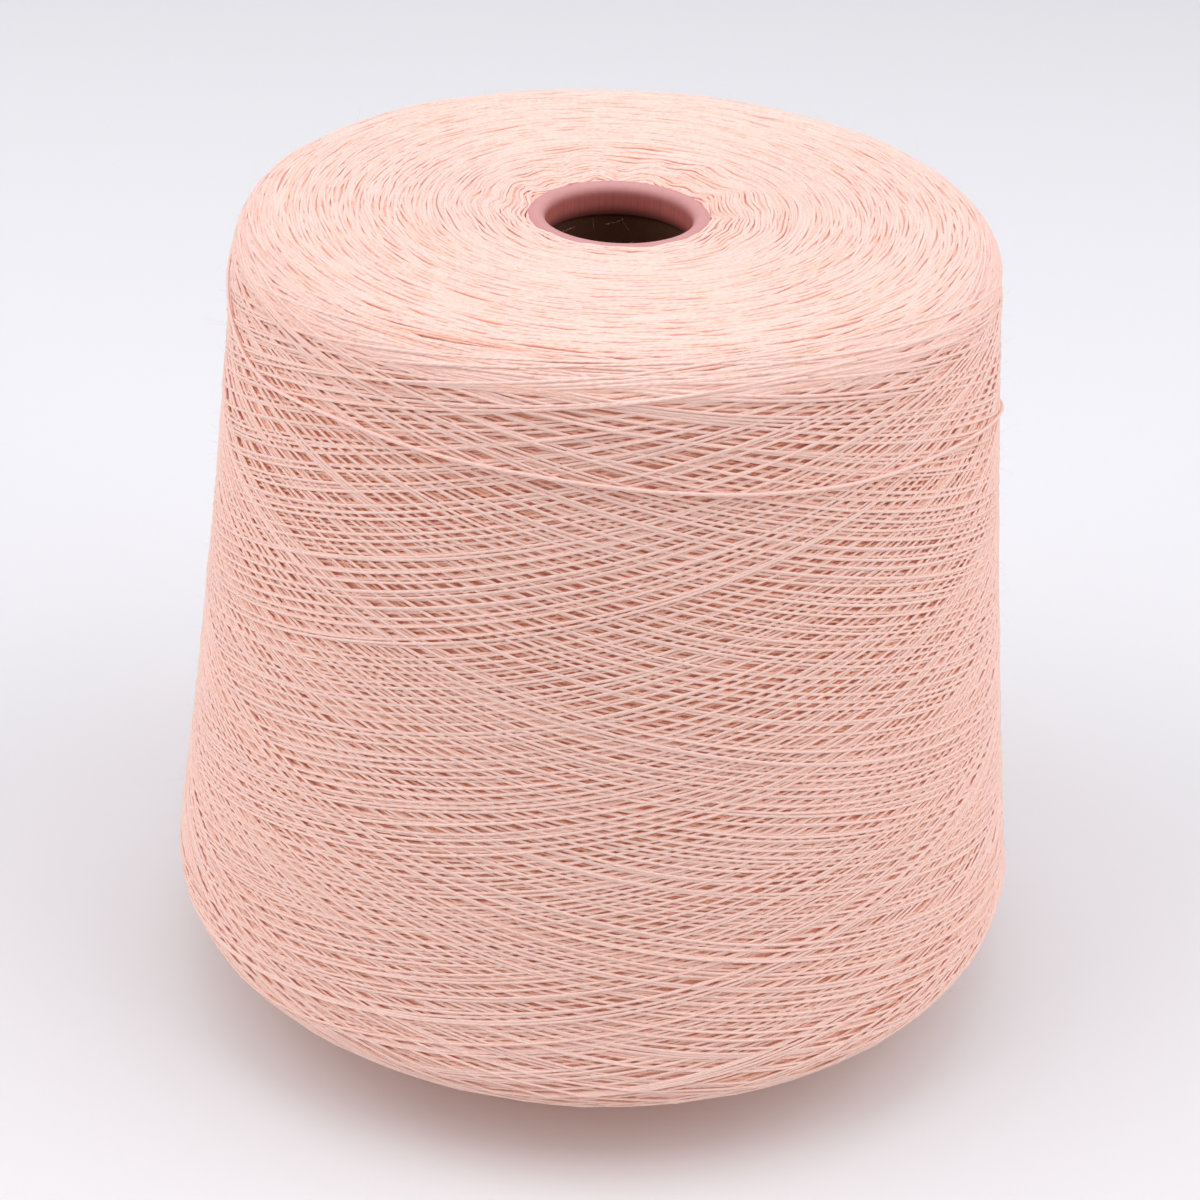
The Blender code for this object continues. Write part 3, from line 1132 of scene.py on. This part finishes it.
def add_sweep(studio):
    """A floor that curves up into a backdrop well behind the object."""
    paint = Paint("floor_paint", 0.85, Specular_IOR_Level=0.1)
    grain = paint.noise(paint.object_place(), scale=3.0)
    pale = tuple(min(value * 1.01, 1.0) for value in studio.floor)
    paint.feed("Base Color", paint.blend(grain, tuple(studio.floor), pale))
    bpy.ops.object.select_all(action="DESELECT")
    bpy.ops.mesh.primitive_plane_add(size=6.0, location=(0, -1.4, 0))
    floor = bpy.context.object
    floor.name = floor.data.name = "floor"
    bpy.ops.object.mode_set(mode="EDIT")
    bpy.ops.mesh.select_mode(type="EDGE")
    bpy.ops.mesh.select_all(action="DESELECT")
    bpy.ops.object.mode_set(mode="OBJECT")
    back = max(v.co.y for v in floor.data.vertices)
    for edge in floor.data.edges:
        edge.select = all(abs(floor.data.vertices[i].co.y - back) < MM for i in edge.vertices)
    bpy.ops.object.mode_set(mode="EDIT")
    for step in range(BEND_STEPS):
        before, after = (radians(90) * k / BEND_STEPS for k in (step, step + 1))
        move = (0, BEND_RADIUS * (sin(after) - sin(before)),
                BEND_RADIUS * (cos(before) - cos(after)))
        bpy.ops.mesh.extrude_edges_move(TRANSFORM_OT_translate={"value": move})
    rise = (0, 0, BACKDROP_HEIGHT)
    bpy.ops.mesh.extrude_edges_move(TRANSFORM_OT_translate={"value": rise})
    bpy.ops.object.mode_set(mode="OBJECT")
    bpy.ops.object.shade_smooth()
    bpy.ops.object.transform_apply(location=True, rotation=True, scale=True)
    floor.data.materials.append(paint.material)


def add_camera(context):
    """The photograph's view: about 30 degrees down, with the frame leaning a little."""
    level = cos(CAMERA_PITCH)
    forward = Vector((sin(CAMERA_HEADING) * level, cos(CAMERA_HEADING) * level,
                      -sin(CAMERA_PITCH)))
    right = forward.cross(Vector((0, 0, 1))).normalized()
    up = right.cross(forward)
    leaning_right = right * cos(CAMERA_LEAN) + up * sin(CAMERA_LEAN)
    leaning_up = up * cos(CAMERA_LEAN) - right * sin(CAMERA_LEAN)
    matrix = Matrix((leaning_right, leaning_up, -forward)).transposed().to_4x4()
    matrix.translation = Vector(CAMERA_PLACE) * MM
    data = bpy.data.cameras.new("camera")
    data.sensor_width = 36.0
    data.lens = FOCAL_LENGTH
    camera = linked("camera", data)
    camera.matrix_world = matrix
    context.scene.camera = camera


class YARN_OT_stage(bpy.types.Operator):
    """Set the pale floor and sweep, the soft lights and the camera"""

    bl_idname = "yarn.stage"
    bl_label = "Stage"

    def execute(self, context):
        studio = context.scene.yarn_studio
        add_sweep(studio)
        for name, place, target, size, power, colour in LAMPS:
            data = bpy.data.lights.new(name, "AREA")
            data.size, data.energy, data.color = size, getattr(studio, power), colour
            lamp = linked(name, data)
            lamp.location = place
            facing = (Vector(target) - Vector(place)).to_track_quat("-Z", "Y")
            lamp.rotation_euler = facing.to_euler()
        world = bpy.data.worlds.new("studio_air")
        world.use_nodes = True
        background = world.node_tree.nodes["Background"]
        background.inputs["Color"].default_value = AIR_COLOUR
        background.inputs["Strength"].default_value = studio.fill
        context.scene.world = world
        context.scene.cycles.diffuse_bounces = 6
        context.scene.view_settings.view_transform = "Standard"
        add_camera(context)
        return {"FINISHED"}


class YARN_OT_paints(bpy.types.Operator):
    """Mix the finishes: spun yarn, packed turns and cone paper"""

    bl_idname = "yarn.paints"
    bl_label = "Finishes"

    def execute(self, context):
        colours = context.scene.yarn_colours
        yarn_paint(colours)
        wound_body_paint(colours)
        paper_paint(colours)
        return {"FINISHED"}


OPERATORS = (
    YARN_OT_stage,
    YARN_OT_paints,
    YARN_OT_paper_cone,
    YARN_OT_wound_body,
    YARN_OT_side_winding,
    YARN_OT_face_turns,
    YARN_OT_nose_loops,
    YARN_OT_last_turn,
    YARN_OT_hair,
)
GROUPS = {
    "yarn_sizes": YarnSizes,
    "yarn_colours": YarnColours,
    "yarn_studio": StudioSettings,
}


class YARN_PT_panel(bpy.types.Panel):
    """Lists the sizes, the colours and the steps that build the cone of yarn"""

    bl_idname = "YARN_PT_panel"
    bl_label = "Cone of Yarn"
    bl_space_type = "VIEW_3D"
    bl_region_type = "UI"
    bl_category = "Yarn"

    def draw(self, context):
        for name, group in GROUPS.items():
            box = self.layout.box()
            for prop in group.__annotations__:
                box.prop(getattr(context.scene, name), prop)
        for operator in OPERATORS:
            self.layout.operator(operator.bl_idname)


def register():
    for group in GROUPS.values():
        bpy.utils.register_class(group)
    for name, group in GROUPS.items():
        setattr(bpy.types.Scene, name, PointerProperty(type=group))
    for operator in OPERATORS:
        bpy.utils.register_class(operator)
    bpy.utils.register_class(YARN_PT_panel)


def unregister():
    bpy.utils.unregister_class(YARN_PT_panel)
    for operator in reversed(OPERATORS):
        bpy.utils.unregister_class(operator)
    for name, group in GROUPS.items():
        delattr(bpy.types.Scene, name)
        bpy.utils.unregister_class(group)


def main():
    register()
    for operator in OPERATORS:
        family, name = operator.bl_idname.split(".")
        getattr(getattr(bpy.ops, family), name)()


if __name__ == "__main__":
    main()
